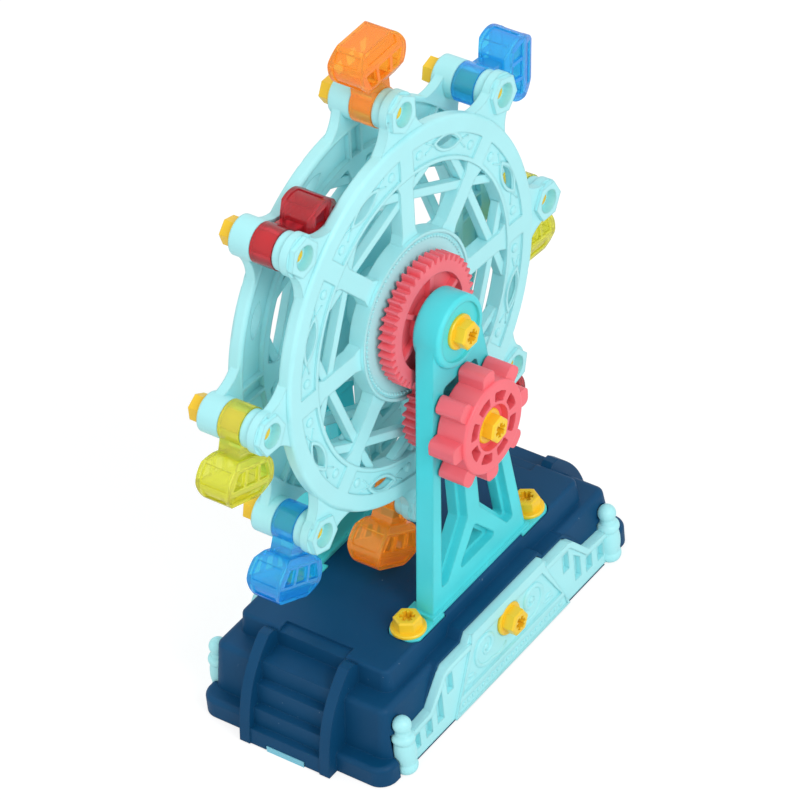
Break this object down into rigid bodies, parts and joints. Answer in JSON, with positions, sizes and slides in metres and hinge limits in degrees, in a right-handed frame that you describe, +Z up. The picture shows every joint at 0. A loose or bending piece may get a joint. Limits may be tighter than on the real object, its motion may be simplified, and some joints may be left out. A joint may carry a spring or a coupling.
{
  "type": "crank ferris wheel toy",
  "caption": "Toy ferris wheel on a stepped base with stairs; a hand knob turns the lattice wheel through a spur gear pair and tinted cabins swing on its lugs.",
  "frame": {"origin": "middle of the base's flat underside", "axes": "+Z up, X along the base with stairs at both ends, Y along the wheel axle with the hand knob towards -Y"},
  "size_m": [0.1884, 0.0912, 0.2523],
  "materials": {
    "navy_plastic": "satin moulded",
    "pale_blue_plastic": "satin moulded",
    "mint_plastic": "satin moulded",
    "turquoise_plastic": "satin moulded",
    "coral_plastic": "satin moulded",
    "yellow_plastic": "gloss moulded",
    "steel": "plated",
    "clear_orange": "clear tinted",
    "clear_blue": "clear tinted",
    "clear_yellow_green": "clear tinted",
    "clear_red": "clear tinted"
  },
  "bodies": {
    "stand": {"base_shell": "navy_plastic", "base_cover": "pale_blue_plastic", "cover_screws": "steel", "side_plate_front": "mint_plastic", "side_plate_back": "mint_plastic", "side_plate_screws": "yellow_plastic", "tower_front": "turquoise_plastic", "tower_back": "turquoise_plastic", "tower_screws": "yellow_plastic", "axle": "mint_plastic", "axle_screws": "yellow_plastic"},
    "wheel": {"wheel_disc_front": "mint_plastic", "wheel_disc_back": "mint_plastic", "hub_spacer": "mint_plastic", "cabin_bolts": "yellow_plastic", "big_gear": "coral_plastic"},
    "crank": {"pinion_shaft": "coral_plastic", "crank_knob": "coral_plastic", "knob_screw": "yellow_plastic"},
    "cabin_body_1": {"cabin_1": "clear_orange"},
    "cabin_body_2": {"cabin_2": "clear_blue"},
    "cabin_body_3": {"cabin_3": "clear_yellow_green"},
    "cabin_body_4": {"cabin_4": "clear_red"},
    "cabin_body_5": {"cabin_5": "clear_orange"},
    "cabin_body_6": {"cabin_6": "clear_blue"},
    "cabin_body_7": {"cabin_7": "clear_yellow_green"},
    "cabin_body_8": {"cabin_8": "clear_red"}
  },
  "joints": [
    {"name": "wheel_turn", "type": "hinge", "parent": "stand", "child": "wheel", "pos_m": [0, 0, 0.146], "axis": [0, 1, 0], "continuous": true},
    {"name": "crank_turn", "type": "hinge", "parent": "stand", "child": "crank", "pos_m": [0, 0, 0.10856], "axis": [0, 1, 0], "continuous": true},
    {"name": "cabin_1_swing", "type": "hinge", "parent": "wheel", "child": "cabin_body_1", "pos_m": [0.00526, 0, 0.22583], "axis": [0, 1, 0], "continuous": true},
    {"name": "cabin_2_swing", "type": "hinge", "parent": "wheel", "child": "cabin_body_2", "pos_m": [0.06017, 0, 0.19873], "axis": [0, 1, 0], "continuous": true},
    {"name": "cabin_3_swing", "type": "hinge", "parent": "wheel", "child": "cabin_body_3", "pos_m": [0.07983, 0, 0.14074], "axis": [0, 1, 0], "continuous": true},
    {"name": "cabin_4_swing", "type": "hinge", "parent": "wheel", "child": "cabin_body_4", "pos_m": [0.05273, 0, 0.08583], "axis": [0, 1, 0], "continuous": true},
    {"name": "cabin_5_swing", "type": "hinge", "parent": "wheel", "child": "cabin_body_5", "pos_m": [-0.00526, 0, 0.06617], "axis": [0, 1, 0], "continuous": true},
    {"name": "cabin_6_swing", "type": "hinge", "parent": "wheel", "child": "cabin_body_6", "pos_m": [-0.06017, 0, 0.09327], "axis": [0, 1, 0], "continuous": true},
    {"name": "cabin_7_swing", "type": "hinge", "parent": "wheel", "child": "cabin_body_7", "pos_m": [-0.07983, 0, 0.15126], "axis": [0, 1, 0], "continuous": true},
    {"name": "cabin_8_swing", "type": "hinge", "parent": "wheel", "child": "cabin_body_8", "pos_m": [-0.05273, 0, 0.20617], "axis": [0, 1, 0], "continuous": true}
  ],
  "couplings": [
    {"joint": "crank_turn", "follows": "wheel_turn", "ratio": -1.5714}
  ]
}
